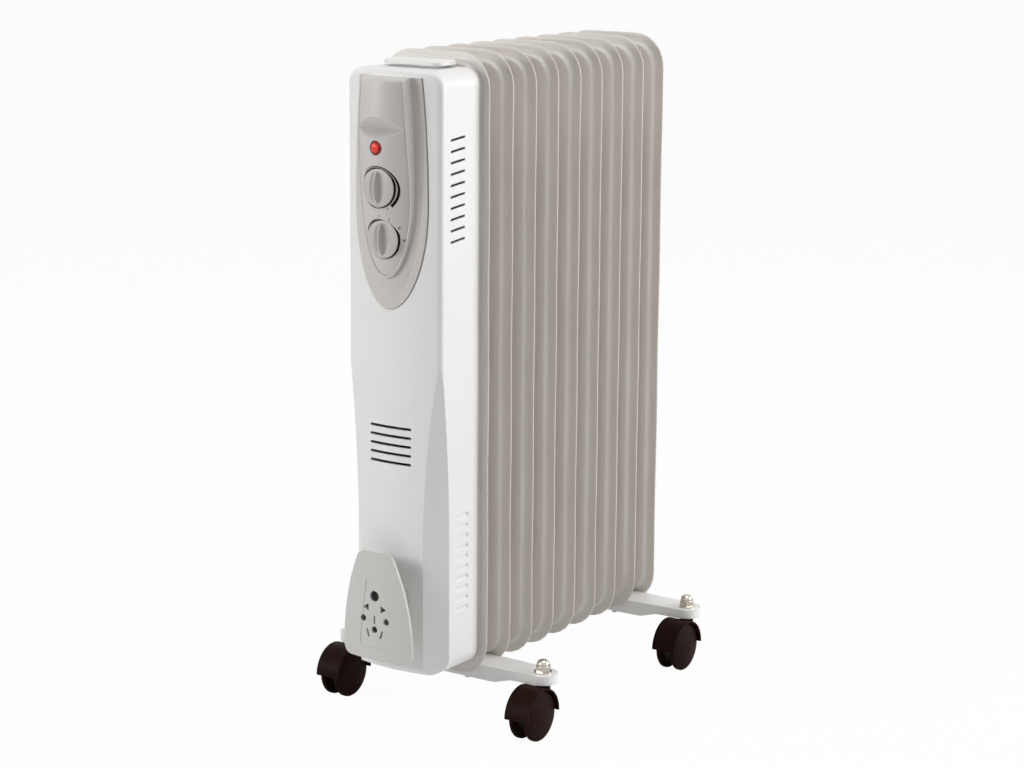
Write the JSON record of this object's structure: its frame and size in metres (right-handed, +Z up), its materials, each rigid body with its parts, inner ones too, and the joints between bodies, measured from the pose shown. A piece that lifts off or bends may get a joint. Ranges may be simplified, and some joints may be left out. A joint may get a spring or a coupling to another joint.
{
  "type": "oil filled radiator heater",
  "caption": "Floor-standing oil filled radiator: a row of pressed fins behind a control housing with two knobs, a cord tidy plate and swivelling twin-wheel castors.",
  "frame": {"origin": "on the floor, under the middle of the whole heater's box", "axes": "+X to the right seen from the control side, +Y to the rear along the row of fins, +Z up"},
  "size_m": [0.249, 0.3956, 0.63],
  "materials": {
    "fin_paint": "satin stove paint",
    "foot_paint": "gloss white paint",
    "housing_plastic": "satin white moulding",
    "panel_plastic": "fine grey moulding",
    "tidy_plastic": "fine pale grey moulding",
    "knob_plastic": "fine pale grey moulding",
    "red_lens": "clear red",
    "bright_nut": "bright plated",
    "steel": "zinc plated",
    "castor_plastic": "satin black",
    "insulating_plastic": "moulded",
    "gland_plastic": "moulded",
    "seal_rubber": "matt"
  },
  "bodies": {
    "heater": {"fin_1": "fin_paint", "fin_2": "fin_paint", "fin_3": "fin_paint", "fin_4": "fin_paint", "fin_5": "fin_paint", "fin_6": "fin_paint", "fin_7": "fin_paint", "fin_8": "fin_paint", "fin_9": "fin_paint", "housing_shell": "housing_plastic", "control_panel": "panel_plastic", "grip_plate": "housing_plastic", "cord_tidy_plate": "tidy_plastic", "cord_tidy_hub": "tidy_plastic", "mounting_plate": "steel", "housing_screws": "steel", "thermostat_body": "insulating_plastic", "power_switch": "insulating_plastic", "pilot_lens": "red_lens", "pilot_lamp_holder": "insulating_plastic", "control_bracket": "steel", "bracket_screws": "steel", "thermal_cutout": "insulating_plastic", "terminal_block": "insulating_plastic", "cord_gland": "gland_plastic", "heating_element": "steel", "element_seal": "seal_rubber", "front_foot": "foot_paint", "rear_foot": "foot_paint", "front_u_bolt": "steel", "rear_u_bolt": "steel", "wing_nuts": "steel", "castor_washers": "bright_nut", "castor_cap_nuts": "bright_nut", "front_left_castor_stem": "steel", "front_right_castor_stem": "steel", "rear_left_castor_stem": "steel", "rear_right_castor_stem": "steel"},
    "thermostat_dial": {"thermostat_knob": "knob_plastic", "thermostat_shaft": "steel"},
    "power_dial": {"power_knob": "knob_plastic", "power_shaft": "steel"},
    "front_left_castor": {"front_left_castor_hood": "castor_plastic", "front_left_castor_axle": "steel"},
    "front_left_castor_left_wheel": {"front_left_castor_left_wheel": "castor_plastic"},
    "front_left_castor_right_wheel": {"front_left_castor_right_wheel": "castor_plastic"},
    "front_right_castor": {"front_right_castor_hood": "castor_plastic", "front_right_castor_axle": "steel"},
    "front_right_castor_left_wheel": {"front_right_castor_left_wheel": "castor_plastic"},
    "front_right_castor_right_wheel": {"front_right_castor_right_wheel": "castor_plastic"},
    "rear_left_castor": {"rear_left_castor_hood": "castor_plastic", "rear_left_castor_axle": "steel"},
    "rear_left_castor_left_wheel": {"rear_left_castor_left_wheel": "castor_plastic"},
    "rear_left_castor_right_wheel": {"rear_left_castor_right_wheel": "castor_plastic"},
    "rear_right_castor": {"rear_right_castor_hood": "castor_plastic", "rear_right_castor_axle": "steel"},
    "rear_right_castor_left_wheel": {"rear_right_castor_left_wheel": "castor_plastic"},
    "rear_right_castor_right_wheel": {"rear_right_castor_right_wheel": "castor_plastic"}
  },
  "joints": [
    {"name": "thermostat_turn", "type": "hinge", "parent": "heater", "child": "thermostat_dial", "pos_m": [0, -0.19375, 0.514], "axis": [0, 1, 0], "range_deg": [-45, 135]},
    {"name": "power_turn", "type": "hinge", "parent": "heater", "child": "power_dial", "pos_m": [0, -0.19375, 0.4675], "axis": [0, 1, 0], "range_deg": [0, 90]},
    {"name": "front_left_castor_swivel", "type": "hinge", "parent": "heater", "child": "front_left_castor", "pos_m": [-0.1105, -0.08525, 0.05], "axis": [0, 0, 1], "continuous": true},
    {"name": "front_left_castor_left_wheel_roll", "type": "hinge", "parent": "front_left_castor", "child": "front_left_castor_left_wheel", "pos_m": [-0.1105, -0.10305, 0.024], "axis": [1, 0, 0], "continuous": true},
    {"name": "front_left_castor_right_wheel_roll", "type": "hinge", "parent": "front_left_castor", "child": "front_left_castor_right_wheel", "pos_m": [-0.1105, -0.10305, 0.024], "axis": [1, 0, 0], "continuous": true},
    {"name": "front_right_castor_swivel", "type": "hinge", "parent": "heater", "child": "front_right_castor", "pos_m": [0.1105, -0.08525, 0.05], "axis": [0, 0, 1], "continuous": true},
    {"name": "front_right_castor_left_wheel_roll", "type": "hinge", "parent": "front_right_castor", "child": "front_right_castor_left_wheel", "pos_m": [0.1105, -0.10305, 0.024], "axis": [1, 0, 0], "continuous": true},
    {"name": "front_right_castor_right_wheel_roll", "type": "hinge", "parent": "front_right_castor", "child": "front_right_castor_right_wheel", "pos_m": [0.1105, -0.10305, 0.024], "axis": [1, 0, 0], "continuous": true},
    {"name": "rear_left_castor_swivel", "type": "hinge", "parent": "heater", "child": "rear_left_castor", "pos_m": [-0.1105, 0.17375, 0.05], "axis": [0, 0, 1], "continuous": true},
    {"name": "rear_left_castor_left_wheel_roll", "type": "hinge", "parent": "rear_left_castor", "child": "rear_left_castor_left_wheel", "pos_m": [-0.1105, 0.15595, 0.024], "axis": [1, 0, 0], "continuous": true},
    {"name": "rear_left_castor_right_wheel_roll", "type": "hinge", "parent": "rear_left_castor", "child": "rear_left_castor_right_wheel", "pos_m": [-0.1105, 0.15595, 0.024], "axis": [1, 0, 0], "continuous": true},
    {"name": "rear_right_castor_swivel", "type": "hinge", "parent": "heater", "child": "rear_right_castor", "pos_m": [0.1105, 0.17375, 0.05], "axis": [0, 0, 1], "continuous": true},
    {"name": "rear_right_castor_left_wheel_roll", "type": "hinge", "parent": "rear_right_castor", "child": "rear_right_castor_left_wheel", "pos_m": [0.1105, 0.15595, 0.024], "axis": [1, 0, 0], "continuous": true},
    {"name": "rear_right_castor_right_wheel_roll", "type": "hinge", "parent": "rear_right_castor", "child": "rear_right_castor_right_wheel", "pos_m": [0.1105, 0.15595, 0.024], "axis": [1, 0, 0], "continuous": true}
  ]
}
